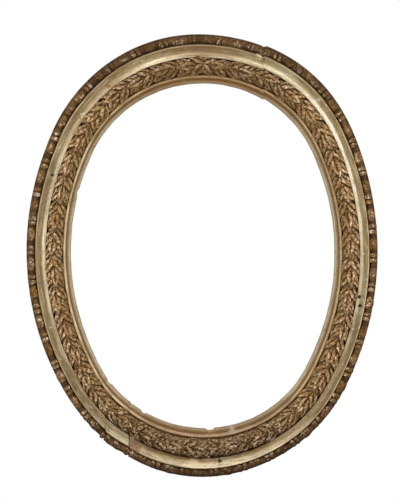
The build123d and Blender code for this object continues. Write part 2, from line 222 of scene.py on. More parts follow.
def as_sawn(angle, offset):
    """Point of the oval as it was sawn and has settled, straying from the true one."""
    share = offset / OUTER
    moved = offset + waves(angle, SIGHT_STRAY) * (1 - share) + waves(angle, OUTER_STRAY) * share
    moved += np.interp(offset, (0.0, LAUREL, EDGE, OUTER),
                       (0.0, waves(angle, LAUREL_STRAY), waves(angle, EDGE_STRAY), 0.0))
    along = on_oval(angle, offset)[0] - SUNK_JOINT
    x, z = on_oval(angle, moved)
    if z > 0:
        z += math.copysign(SUNK_STEP / 2 * math.exp(-abs(along) / SUNK_REACH), along)
    elif BOTTOM_JOINTS[0] < x < BOTTOM_JOINTS[1]:
        z += np.interp(x, BOTTOM_JOINTS[:2], REPAIR_TILT) * share
    return x, z


def shared_point(x, z, height):
    """A point of the moulding in the shared frame, in metres; height is above the boards' back."""
    return x * MM, (BACK_FACE - BOARD_BACK - height) * MM, (z + WIDEST_LINE) * MM


def even_angles(start, end, offset, step):
    """Normal directions at even distances along the oval from start round to end."""
    fine = np.linspace(start, end, 4001)
    radii = np.array([arc_at(a)[2] + offset for a in fine])
    length = np.concatenate([[0], np.cumsum((radii[1:] + radii[:-1]) / 2 * np.abs(np.diff(fine)))])
    count = max(2, round(length[-1] / step))
    return np.interp(np.linspace(0, length[-1], count + 1), length, fine)


def oval_length(offset):
    """Way round the true oval."""
    ends = TOP_RADIUS * (math.pi - 2 * TOP_ANGLE) + BOTTOM_RADIUS * (math.pi - 2 * BOTTOM_ANGLE)
    return ends + 2 * SIDE_RADIUS * (TOP_ANGLE + BOTTOM_ANGLE) + FULL_TURN * offset


def carving_path(side, offset, height, start, end):
    """Points along the sawn oval; start and end are shares of the way round from the top."""
    once_round = even_angles(CREST, CREST + side * FULL_TURN, offset, PATH_STEP)
    steps = len(once_round) - 1
    angles = [once_round[i % steps] for i in range(round(start * steps), round(end * steps) + 1)]
    return [shared_point(*as_sawn(angle, offset), height) for angle in angles]


def cut_angle(x, offset, top):
    """Normal direction where the oval at this offset crosses an upright cut, above or below."""
    low, high = (0.0, math.pi) if top else (-math.pi, 0.0)
    for _ in range(50):
        middle = (low + high) / 2
        if (on_oval(middle, offset)[0] < x) != top:
            low = middle
        else:
            high = middle
    return (low + high) / 2


def smooth(low, high, x):
    """0 below low, 1 above high, smooth between."""
    t = min(1.0, max(0.0, (x - low) / (high - low)))
    return t * t * (3 - 2 * t)


def arc_points(start, middle, end, count):
    """Points on the circle through three points of the section."""
    (ax, ay), (bx, by), (cx, cy) = start, middle, end
    d = 2 * (ax * (by - cy) + bx * (cy - ay) + cx * (ay - by))
    squares = ax**2 + ay**2, bx**2 + by**2, cx**2 + cy**2
    ux = (squares[0] * (by - cy) + squares[1] * (cy - ay) + squares[2] * (ay - by)) / d
    uy = (squares[0] * (cx - bx) + squares[1] * (ax - cx) + squares[2] * (bx - ax)) / d
    radius = math.hypot(ax - ux, ay - uy)
    a0, a1, a2 = (math.atan2(y - uy, x - ux) for x, y in (start, middle, end))
    sweep = (a2 - a0) % FULL_TURN
    if (a1 - a0) % FULL_TURN > sweep:
        sweep -= FULL_TURN
    turns = [a0 + sweep * i / count for i in range(count + 1)]
    return [(ux + radius * math.cos(a), uy + radius * math.sin(a)) for a in turns]


def board_section():
    """The boards' section as a closed loop of (distance outside the sight edge, height)."""
    loop = [(0.0, 0.0), (0.0, 2.5), (0.1, 4.8), (0.7, 6.0)]
    loop += arc_points((1.4, 6.6), (4.5, 8.6), (7.2, 9.2), 6)
    loop += arc_points((7.6, 9.0), (9.3, 10.8), (10.0, 14.2), 5)
    loop += [(10.3, 14.8), (11.2, 15.3), (12.6, 15.3), (13.6, 14.8), (FILLET, 13.6)]
    core = [(LAUREL_MIDDLE - CORE_RADIUS * math.cos(a), CORE_CENTRE + CORE_RADIUS * math.sin(a))
            for a in np.linspace(0.06, math.pi - 0.06, 17)]
    loop += [(14.6, 11.4)] + core + [(44.6, 11.6)]
    loop += [(45.3, 16.6), (45.8, 18.3), (46.6, 18.7)]
    loop += arc_points((47.2, 18.2), (54.2, 11.6), (62.6, 19.6), 14)
    loop += [(63.2, 20.4), (64.0, 20.7), (65.0, 20.5), (65.6, 19.4), (66.0, 16.6)]
    loop += [(BEAD_MIDDLE - STRING_RADIUS * math.cos(a), STRING_CENTRE + STRING_RADIUS * math.sin(a))
             for a in np.linspace(0.15, math.pi - 0.15, 9)]
    loop += [(78.4, 16.2), (79.5, 15.4), (OUTER, 13.5), (OUTER, 8.0), (78.6, 3.6), (77.0, 0.0)]
    loop += [(60.0, 0.0), (40.0, 0.0), (20.0, 0.0)]
    return loop


def hand_cut(x, z, offset, height):
    """What the carver's hand and long use did to a point of the smooth section, as offset and height."""
    slow = Vector((x * 0.011, z * 0.011, offset * 0.02))
    across = WAVE_ACROSS * noise.noise(slow)
    up = WAVE_UP * noise.noise(slow + Vector((7.3, 2.1, 4.4)))
    up += DENT * noise.noise(Vector((x * 0.09, z * 0.09, offset * 0.1)))
    if offset < CHIP_REACH:
        across += SIGHT_WAVE * noise.noise(Vector((x * 0.05, z * 0.05, 9.1)))
        for (chip_x, chip_z), length, depth in SIGHT_CHIPS:
            near = 1 - smooth(length * 0.25, length * 0.6, math.hypot(x - chip_x, z - chip_z))
            across += depth * near * (1 - smooth(CHIP_REACH / 3, CHIP_REACH, offset))
    if LAUREL < offset < EDGE:
        for (hole_x, hole_z), radius in HOLES:
            away = math.hypot(x - hole_x, z - hole_z)
            up -= HOLE_DEPTH * (1 - smooth(radius * 0.5, radius * 1.2, away))
    if offset > EDGE and z > 0:
        across -= NOTCH_DEPTH * (1 - smooth(0.0, NOTCH_REACH, abs(x - SUNK_JOINT)))
    front = smooth(FRONT_FOOT, FRONT_FOOT * 2, height)
    return offset + across * (front if offset > CHIP_REACH else 1.0), height + up * front


def note(mesh, name, values):
    """Gives each point of a mesh a number or a vector, which the materials read by its name."""
    values = np.asarray(values, np.float32)
    kind, key = ("FLOAT", "value") if values.ndim == 1 else ("FLOAT_VECTOR", "vector")
    mesh.attributes.new(name, kind, "POINT").data.foreach_set(key, values.ravel())


def put(name, data):
    """A new object in the scene."""
    piece = bpy.data.objects.new(name, data)
    bpy.context.scene.collection.objects.link(piece)
    return piece


def mesh_object(name, vertices, faces, uvs=None, **notes):
    """A smooth mesh with its sharp edges kept."""
    mesh = bpy.data.meshes.new(name)
    mesh.from_pydata(vertices, [], faces)
    if uvs is not None:
        layer = mesh.uv_layers.new(name="moulding")
        loops = np.zeros(len(mesh.loops), np.int32)
        mesh.loops.foreach_get("vertex_index", loops)
        layer.data.foreach_set("uv", np.asarray(uvs, np.float32)[loops].ravel())
    for key, values in notes.items():
        note(mesh, key, values)
    mesh.shade_smooth()
    mesh.set_sharp_from_angle(angle=SHARP)
    mesh.validate()
    return put(name, mesh)


def grid_faces(lines, points, closed=True, base=0):
    """Faces between lines of points that follow each other, each line closed or open."""
    faces = []
    for i in range(lines - 1):
        for j in range(points if closed else points - 1):
            a, b = base + i * points + j, base + i * points + (j + 1) % points
            faces.append((a, a + points, b + points, b))
    return faces


def carved_board(name, start, end):
    """One board between two cuts, each given as (distance from the middle, whether it is above).
    Its UV map runs along and across the moulding."""
    section = board_section()
    ends = [[cut_angle(x, offset, top) for offset, _ in section] for x, top in (start, end)]
    for row in range(len(section)):
        while ends[1][row] > ends[0][row]:
            ends[1][row] -= FULL_TURN
    middle = even_angles(ends[0][0], ends[1][0], LAUREL_MIDDLE, STATION)
    vertices, uvs = [], []
    for station, place in enumerate(middle):
        share = (place - middle[0]) / (middle[-1] - middle[0])
        for row, (offset, height) in enumerate(section):
            angle = ends[0][row] + (ends[1][row] - ends[0][row]) * share
            moved, raised = hand_cut(*on_oval(angle, offset), offset, height)
            vertices.append(shared_point(*as_sawn(angle, moved), raised))
            along = start[0] * UV_PER_MM + station * STATION * UV_PER_MM
            uvs.append((along, offset * UV_PER_MM if height > 0 else PLAIN_BACK_V))
    rows, stations = len(section), len(middle)
    faces = [(a, d, c, b) for a, b, c, d in grid_faces(stations, rows)]
    faces.append(tuple(reversed(range(rows))))
    faces.append(tuple((stations - 1) * rows + j for j in range(rows)))
    return mesh_object(name, vertices, faces, uvs)


def leaf_face(draw, leaf, along_by, across_by, way=1):
    """Upper face of a laurel leaf from base to tip, moved along and across, and mirrored where way is -1.
    Each point is (along, across, above the round, relief, place along and across the leaf)."""
    length, width, rise, start, beside, turn, bend, foot, lift = leaf
    start, beside, bend = start + along_by, way * beside + across_by, way * bend
    length, width = length * draw.uniform(0.9, 1.08), width * draw.uniform(0.88, 1.12)
    rise, turn = rise * draw.uniform(0.75, 1.15), way * turn + draw.uniform(-0.07, 0.07)
    lean = draw.uniform(-0.25, 0.25)
    points = []
    for i in range(LEAF_ROWS + 1):
        t = i / LEAF_ROWS
        swell = math.sin(math.pi * (0.06 + 0.94 * t) ** 0.78)
        half = width / 2 * max(0.05, swell) ** 0.75
        for j in range(LEAF_COLUMNS + 1):
            v = 2 * j / LEAF_COLUMNS - 1
            inside = 1 - abs(v) ** 5
            rim = math.exp(-(((abs(v) - 0.7) / 0.16) ** 2)) * math.sin(math.pi * min(1.0, t + 0.12))
            midrib = math.exp(-((v / 0.15) ** 2)) * (1 - 0.5 * t)
            groove = 0.5 + 0.5 * math.cos(FULL_TURN * LEAF_GROOVES * (v + lean * t * (1 - abs(v))))
            above = foot + lift * t + rise * inside * (0.5 + 0.5 * math.sin(math.pi * t))
            above += LEAF_RIM * rim - MIDRIB_DEPTH * midrib
            above -= GROOVE_DEPTH * groove * inside * (1 - midrib)
            along = start + t * length * math.cos(turn) - v * half * math.sin(turn)
            across = beside + t * length * math.sin(turn) + v * half * math.cos(turn) + bend * t * t
            relief = inside * (0.45 + 0.25 * t) + 0.35 * rim - 0.4 * midrib - 0.15 * groove * inside
            points.append((along, across, above, min(1.0, max(0.0, relief)), t * length, v * half))
    return points


def leaf_faces(base):
    """Points of a leaf's rim, and faces of its upper side, rim and flat underside."""
    row = LEAF_COLUMNS + 1
    faces = grid_faces(LEAF_ROWS + 1, row, False, base)
    grid = np.arange((LEAF_ROWS + 1) * row).reshape(-1, row)
    rim = np.concatenate([grid[0], grid[1:, -1], grid[-1, -2::-1], grid[-2:0:-1, 0]]).tolist()
    under = [base + grid.size + i for i in range(len(rim))]
    for i, a in enumerate(rim):
        k = (i + 1) % len(rim)
        faces.append((base + a, base + rim[k], under[k], under[i]))
    faces.append(tuple(under))
    return rim, faces


def sprig_template(number):
    """Seven leaves wrapped over the round: local X along the band, Z to the viewer."""
    draw = random.Random(number)
    leaves = [leaf_face(draw, CENTRE_LEAF, 0.0, draw.uniform(-CENTRE_SWAY, CENTRE_SWAY))]
    for way in (-1, 1):
        sway = draw.uniform(-SIDE_SWAY, SIDE_SWAY)
        leaves += [leaf_face(draw, leaf, sway, 0.0, way) for leaf in SIDE_LEAVES]
    vertices, faces, relief, grain = [], [], [], []
    for shift, points in enumerate(leaves):
        rim, quads = leaf_faces(len(vertices))
        under = [(*points[i][:2], LEAF_UNDER, 0.0, *points[i][4:]) for i in rim]
        for along, across, above, mark, lengthwise, sideways in points + under:
            theta, reach = across / CORE_RADIUS, CORE_RADIUS + above
            vertices.append((along * MM, reach * math.sin(theta) * MM, reach * math.cos(theta) * MM))
            relief.append(mark)
            grain.append((lengthwise * MM, sideways * MM, shift + number * len(leaves)))
        faces += quads
    return mesh_object(f"laurel_sprig_{number}", vertices, faces, relief=relief, grain=grain)


def turned(profile, centre, tone):
    """A form turned about the band: profile is (distance along, radius), tone its relief at the widest."""
    vertices, relief, grain = [], [], []
    biggest = max(radius for _, radius in profile)
    sides = TURNED_SIDES
    for x, radius in profile:
        for j in range(sides):
            a = FULL_TURN * j / sides
            vertices.append(((centre + x) * MM, radius * math.sin(a) * MM, radius * math.cos(a) * MM))
            relief.append(tone * radius / biggest)
            grain.append((radius * math.sin(a) * MM, x * MM, centre))
    faces = grid_faces(len(profile), sides)
    faces.append(tuple(range(sides)))
    last = (len(profile) - 1) * sides
    faces.append(tuple(last + j for j in reversed(range(sides))))
    return vertices, faces, relief, grain


def edge_template(number):
    """One repeat of the edge: a long oval bead and two reels, each a little off."""
    draw = random.Random(number)
    bead = [(-BEAD_HALF * math.cos(a), max(BEAD_END, BEAD_RADIUS * math.sin(a) ** BEAD_FULLNESS))
            for a in np.linspace(0.1, math.pi - 0.1, 13)]
    reel = [(-x, radius) for x, radius in HALF_REEL] + HALF_REEL[::-1]
    forms = [(bead, BEAD_PLACE, BEAD_TONE)] + [(reel, place, REEL_TONE) for place in REEL_PLACES]
    vertices, faces, relief, grain = [], [], [], []
    for profile, centre, tone in forms:
        wear = draw.uniform(0.86, 1.04)
        worn = [(x * draw.uniform(0.94, 1.06), radius * wear) for x, radius in profile]
        centre, tone = centre + draw.uniform(-0.6, 0.6), tone * draw.uniform(0.7, 1.2)
        points, quads, marks, lines = turned(worn, centre, tone)
        faces += [tuple(v + len(vertices) for v in quad) for quad in quads]
        vertices += points
        relief += marks
        grain += lines
    return mesh_object(f"edge_repeat_{number}", vertices, faces, relief=relief, grain=grain)


def feed(tree, socket, value):
    """Links a field or another node's output to an input, or sets the input's value."""
    source = getattr(value, "socket", value)
    if isinstance(source, bpy.types.NodeSocket):
        tree.links.new(source, socket)
    else:
        socket.default_value = source


def new_node(tree, kind, inputs=None, **settings):
    """Adds a node: its settings first, then the values or links of its inputs."""
    node = tree.nodes.new(kind)
    for key, value in settings.items():
        setattr(node, key, value)
    for key, value in (inputs or {}).items():
        feed(tree, node.inputs[key], value)
    return node


def carving_tree():
    """Geometry nodes that set copies of a carving along paths, to the viewer, each a little different."""
    tree = bpy.data.node_groups.new("carving along the oval", "GeometryNodeTree")
    tree.interface.new_socket("Geometry", in_out="OUTPUT", socket_type="NodeSocketGeometry")
    sockets = {"Geometry": "Geometry", "Carvings": "Collection", "Count": "Int", "Size Spread": "Float",
               "Turn Spread": "Float", "Hand": "Float", "Hand Scale": "Float", "Seed": "Int",
               "Finish": "Material"}
    for name, kind in sockets.items():
        tree.interface.new_socket(name, in_out="INPUT", socket_type="NodeSocket" + kind)

    def add(kind, inputs=None, output=0, **settings):
        return new_node(tree, kind, inputs, **settings).outputs[output]

    def maths(operation, first, second):
        return add("ShaderNodeMath", {0: first, 1: second}, operation=operation)

    given = new_node(tree, "NodeGroupInput").outputs

    def spread(amount, middle, shift):
        """A number for each copy, off the middle by no more than an amount."""
        draw = new_node(tree, "FunctionNodeRandomValue", {"Seed": maths("ADD", given["Seed"], shift)},
                        data_type="FLOAT")
        low, high = [socket for socket in draw.inputs if socket.type == "VALUE"][:2]
        feed(tree, low, maths("SUBTRACT", middle, amount))
        feed(tree, high, maths("ADD", middle, amount))
        return next(socket for socket in draw.outputs if socket.type == "VALUE")

    path = add("GeometryNodeMeshToCurve", {"Mesh": given["Geometry"]})
    points = add("GeometryNodeResampleCurve", {"Curve": path, "Count": given["Count"]})
    facing = add("FunctionNodeAlignRotationToVector", {"Vector": (0.0, -1.0, 0.0)}, axis="Z")
    along = add("FunctionNodeAlignRotationToVector",
                {"Rotation": facing, "Vector": add("GeometryNodeInputTangent")}, axis="X", pivot_axis="Z")
    carvings = add("GeometryNodeCollectionInfo", {
        "Collection": given["Carvings"], "Separate Children": True, "Reset Children": True})
    placed = add("GeometryNodeInstanceOnPoints", {
        "Points": points, "Instance": carvings, "Pick Instance": True, "Rotation": along})
    size = spread(given["Size Spread"], 1.0, 11)
    sized = add("GeometryNodeScaleInstances", {"Instances": placed, "Scale": size})
    roll = add("ShaderNodeCombineXYZ", {"X": spread(given["Turn Spread"], 0.0, 23)})
    rolled = add("GeometryNodeRotateInstances", {"Instances": sized, "Rotation": roll})
    real = add("GeometryNodeRealizeInstances", {"Geometry": rolled})
    place = add("GeometryNodeInputPosition")
    uneven = add("ShaderNodeTexNoise", {"Vector": place, "Scale": given["Hand Scale"], "Detail": 2.0},
                 "Color")
    about = add("ShaderNodeVectorMath", {0: uneven, 1: (0.5, 0.5, 0.5)}, operation="SUBTRACT")
    push = add("ShaderNodeVectorMath", {0: about, "Scale": given["Hand"]}, operation="SCALE")
    cut = add("GeometryNodeSetPosition", {"Geometry": real, "Offset": push})
    done = add("GeometryNodeSetMaterial", {"Geometry": cut, "Material": given["Finish"]})
    new_node(tree, "NodeGroupOutput", {"Geometry": done})
    return tree


def across_moulding(x, z):
    """Distance outside the true sight edge; x and z are from the middle of the widest line."""
    turn = np.arctan2(z, np.abs(x) + SIDE_SHIFT)
    at_top, at_bottom = turn > TOP_ANGLE, turn < -BOTTOM_ANGLE
    centre_x = np.where(at_top | at_bottom, 0.0, -SIDE_SHIFT)
    centre_z = np.where(at_top, RISE - TOP_RADIUS, np.where(at_bottom, BOTTOM_RADIUS - DROP, 0.0))
    radius = np.where(at_top, TOP_RADIUS, np.where(at_bottom, BOTTOM_RADIUS, SIDE_RADIUS))
    return np.hypot(np.abs(x) - centre_x, z - centre_z) - radius


def weather(mesh):
    """Cuts joints and notch into the carving, rubs its lower end down, notes how far out points lie."""
    places = np.zeros(len(mesh.vertices) * 3, np.float32)
    mesh.vertices.foreach_get("co", places)
    places = places.reshape(-1, 3)
    x, z = places[:, 0] / MM, places[:, 2] / MM - WIDEST_LINE
    for joints, half in ((TOP_JOINTS, z > 0), (BOTTOM_JOINTS, z < 0)):
        for joint in joints:
            near = 1 - np.abs(x - joint) / JOINT_GROOVE
            places[:, 1] += np.where(half, np.clip(near, 0, 1), 0) * JOINT_GROOVE_DEPTH * MM
    rubbed = np.clip((-z - RUBBED_FROM) / RUBBED_OVER, 0, 1)
    uneven = np.array([noise.noise(Vector(place) * 130) if low else 0.0
                       for place, low in zip(places, rubbed)])
    places[:, 1] += rubbed * (0.6 + 2.0 * uneven) * RUBBED_DEPTH * MM
    reach = across_moulding(x, z)
    near = np.clip(1 - np.abs(x - SUNK_JOINT) / NOTCH_REACH, 0, 1)
    places[:, 2] -= np.where((z > 0) & (reach > EDGE), near, 0) * NOTCH_DEPTH * MM
    mesh.vertices.foreach_set("co", places.ravel())
    note(mesh, "reach", reach * UV_PER_MM)
    mesh.update()


def carve_along(name, tree, paths, **inputs):
    """A plain mesh of copies of a carving along each path; inputs are the tree's, by name."""
    vertices, edges = [], []
    for path in paths:
        edges += [(len(vertices) + i, len(vertices) + i + 1) for i in range(len(path) - 1)]
        vertices += path
    mesh = bpy.data.meshes.new(name + "_path")
    mesh.from_pydata(vertices, edges, [])
    carrier = put(name + "_path", mesh)
    modifier = carrier.modifiers.new("carving", "NODES")
    modifier.node_group = tree
    for socket in tree.interface.items_tree:
        key = socket.name.replace(" ", "_")
        if socket.in_out == "INPUT" and key in inputs:
            modifier[socket.identifier] = inputs[key]
    result = carrier.evaluated_get(bpy.context.evaluated_depsgraph_get())
    carved = bpy.data.meshes.new_from_object(result)
    carved.name = name
    bpy.data.objects.remove(carrier)
    weather(carved)
    return put(name, carved)


def srgb(red, green, blue):
    """A colour given as the eye reads it, 0 to 255, as the shader's linear value."""
    shares = (red / 255, green / 255, blue / 255)
    return tuple(c / 12.92 if c <= 0.04 else ((c + 0.055) / 1.055) ** 2.4 for c in shares) + (1.0,)


class Field:
    """One output of a material's nodes, with the arithmetic that the finishes use."""

    def __init__(self, finish, socket):
        self.finish, self.socket = finish, socket

    def maths(self, operation, first, second):
        return self.finish.node("ShaderNodeMath", {0: first, 1: second}, operation=operation)

    def __add__(self, other):
        return self.maths("ADD", self, other)

    def __sub__(self, other):
        return self.maths("SUBTRACT", self, other)

    def __rsub__(self, other):
        return self.maths("SUBTRACT", other, self)

    def __mul__(self, other):
        return self.maths("MULTIPLY", self, other)

    __radd__, __rmul__ = __add__, __mul__

    def ramp(self, low, high):
        """0 below low, 1 above high, smooth between."""
        return self.finish.node("ShaderNodeMapRange", {"Value": self, "From Min": low, "From Max": high},
                                interpolation_type="SMOOTHSTEP")

    def band(self, low, high, soft):
        """1 from low to high, 0 beyond, with soft edges."""
        return self.ramp(low - soft, low) * (1 - self.ramp(high, high + soft))

    def above(self, low, high):
        """The ramp of a height, with low and high in millimetres from the widest line."""
        return self.ramp((WIDEST_LINE + low) * MM, (WIDEST_LINE + high) * MM)

    def capped(self):
        return self.maths("MINIMUM", self, 1.0)


class Finish:
    """A material under construction."""

    def __init__(self, name):
        self.material = bpy.data.materials.new(name)
        self.material.use_nodes = True
        self.tree = self.material.node_tree
        self.shader = self.tree.nodes["Principled BSDF"]
        self.at = self.place()
        self.height = self.part(self.at, 2)

    def node(self, kind, inputs=None, output=0, **settings):
        return Field(self, new_node(self.tree, kind, inputs, **settings).outputs[output])

    def tones(self, stops, where):
        """A colour ramp, with its stops given as (place, colour)."""
        node = new_node(self.tree, "ShaderNodeValToRGB", {"Fac": where})
        elements = node.color_ramp.elements
        while len(elements) < len(stops):
            elements.new(1.0)
        for element, (place, colour) in zip(elements, stops):
            element.position, element.color = place, colour
        return Field(self, node.outputs[0])

    def place(self, scale=(1.0, 1.0, 1.0), turn=0.0):
        """Object coordinates, turned about the view direction and then scaled."""
        coordinates = self.node("ShaderNodeTexCoord", output="Object")
        aligned = self.node("ShaderNodeMapping", {"Vector": coordinates, "Rotation": (0.0, turn, 0.0)})
        return self.node("ShaderNodeMapping", {"Vector": aligned, "Scale": scale})

    def part(self, vector, axis):
        """One coordinate of a vector, by its number."""
        return self.node("ShaderNodeSeparateXYZ", {"Vector": vector}, axis)

    def attribute(self, name, output="Fac"):
        return self.node("ShaderNodeAttribute", output=output, attribute_name=name)

    def stretch(self, vector, scale):
        return self.node("ShaderNodeVectorMath", {0: vector, 1: scale}, operation="MULTIPLY")

    def noise(self, scale, detail=4.0, roughness=0.55, distortion=0.0, at=None):
        """Noise by object coordinates, or by another vector."""
        return self.node("ShaderNodeTexNoise", {"Vector": at or self.at, "Scale": scale, "Detail": detail,
                                                "Roughness": roughness, "Distortion": distortion})

    def spot(self, place, radius, soft):
        """1 within a radius of a place on the front, in millimetres, fading over a soft and uneven rim."""
        flat = self.stretch(self.at, (1.0, 0.0, 1.0))
        centre = (place[0] * MM, 0.0, (place[1] + WIDEST_LINE) * MM)
        away = self.node("ShaderNodeVectorMath", {0: flat, 1: centre}, "Value", operation="DISTANCE")
        uneven = (self.noise(900.0 / radius, 3.0) - 0.5) * (1.6 * radius * MM)
        return 1 - (away + uneven).ramp((radius - soft / 2) * MM, (radius + soft / 2) * MM)

    def joint_lines(self):
        """Dark lines where the boards meet."""
        upper = self.height.above(-1, 1)
        wander = self.part(self.at, 0) + (self.noise(90.0, 3.0) - 0.5) * (2.4 * MM)
        lines = 0.0
        halves = (TOP_JOINTS, TOP_DARKNESS, upper), (BOTTOM_JOINTS, BOTTOM_DARKNESS, 1 - upper)
        for joints, shown, half in halves:
            for joint, dark in zip(joints, shown):
                wide = 0.2 + 0.6 * dark
                line = wander.band((joint - wide) * MM, (joint + wide) * MM, 0.6 * MM)
                lines = lines + line * half * dark
        return lines * self.noise(55.0, 2.0).ramp(0.36, 0.6)

    def blend(self, amount, first, second):
        """From one colour to another. Inputs 6 and 7 and output 2 are the colour sockets."""
        return self.node("ShaderNodeMix", {0: amount, 6: first, 7: second}, 2, data_type="RGBA")

    def lay(self, colour, layers):
        """A colour with layers over it, one after the other, each (how much of it, its tone)."""
        for amount, tone in layers:
            colour = self.blend(amount, colour, tone)
        return colour

    def finish(self, height=None, strength=0.3, distance=0.0006, **inputs):
        """Feeds the shader; height, if given, becomes its bump."""
        for key, value in inputs.items():
            feed(self.tree, self.shader.inputs[key.replace("_", " ")], value)
        if height is not None:
            bump = self.node("ShaderNodeBump",
                             {"Height": height, "Strength": strength, "Distance": distance})
            feed(self.tree, self.shader.inputs["Normal"], bump)
        return self.material


UMBER, BROWN, BOLE = srgb(46, 30, 12), srgb(104, 76, 38), srgb(122, 70, 42)
TAN, SILVERED = srgb(158, 130, 84), srgb(198, 190, 160)
# The worn pink tone is rubbed gilding and also the painted highlight on the carving's crests
PALE_GOLD, WORN_PINK_AND_HIGHLIGHT, GESSO = srgb(230, 210, 164), srgb(236, 214, 186), srgb(232, 224, 208)

# Tones of the boards by distance from the sight edge, in units of the UV map
# Among the inner tones the fillet's crest at 0.102 is a painted highlight, and the dark stops at 0.142 and
# 0.448 are painted shade in the creases at the feet of the laurel's round
INNER_TONES = [(0.0, srgb(150, 132, 104)), (0.03, srgb(176, 158, 126)), (0.045, srgb(140, 112, 70)),
               (0.06, srgb(124, 94, 52)), (0.084, srgb(92, 64, 30)), (0.102, srgb(204, 176, 130)),
               (0.13, srgb(176, 144, 96)), (0.142, srgb(84, 58, 28)), (0.30, srgb(130, 96, 54)),
               (0.448, srgb(90, 63, 32))]
# At the sides the hollow's inner flank is painted with a highlight, as lit by the side lamps
SIDE_HOLLOW = [(0.458, srgb(246, 233, 204)), (0.50, srgb(236, 221, 188)), (0.535, srgb(190, 173, 137)),
               (0.58, srgb(162, 146, 110)), (0.628, srgb(152, 134, 98)), (0.642, srgb(180, 158, 118))]
# At the bottom the hollow's inner flank is painted in shade and its outer flank with a highlight, as lit
# from above
LOW_HOLLOW = [(0.458, srgb(98, 72, 39)), (0.49, srgb(124, 97, 58)), (0.545, srgb(214, 190, 151)),
              (0.58, srgb(248, 231, 196)), (0.628, srgb(252, 237, 204)), (0.642, srgb(206, 180, 138))]
# The edge's dark tones are painted shade where the hollow drops to the beads and on the outer rim
EDGE_TONES = [(0.662, srgb(46, 29, 11)), (0.74, srgb(70, 45, 19)), (0.785, srgb(56, 39, 20)),
              (0.802, srgb(48, 34, 20)), (PLAIN_BACK_V, srgb(96, 70, 42))]

# Single marks in the gilding: place, radius, width of the soft rim, tone
MARKS = (
    (from_picture(131, 50), 5.0, 6.0, BOLE),
    (from_picture(107, 72), 5.0, 6.0, BOLE),
    (from_picture(259, 57), 5.0, 6.0, srgb(222, 200, 160)),
    (from_picture(269, 69), 4.0, 5.0, srgb(214, 202, 184)),
    (from_picture(136, 448), 13.0, 14.0, srgb(142, 104, 72)),
    (from_picture(142, 450), 4.0, 6.0, srgb(206, 190, 170)),
    (from_picture(232, 430), 5.0, 8.0, srgb(176, 160, 142)),
    (from_picture(194, 463), 7.0, 12.0, srgb(236, 218, 182)),
)


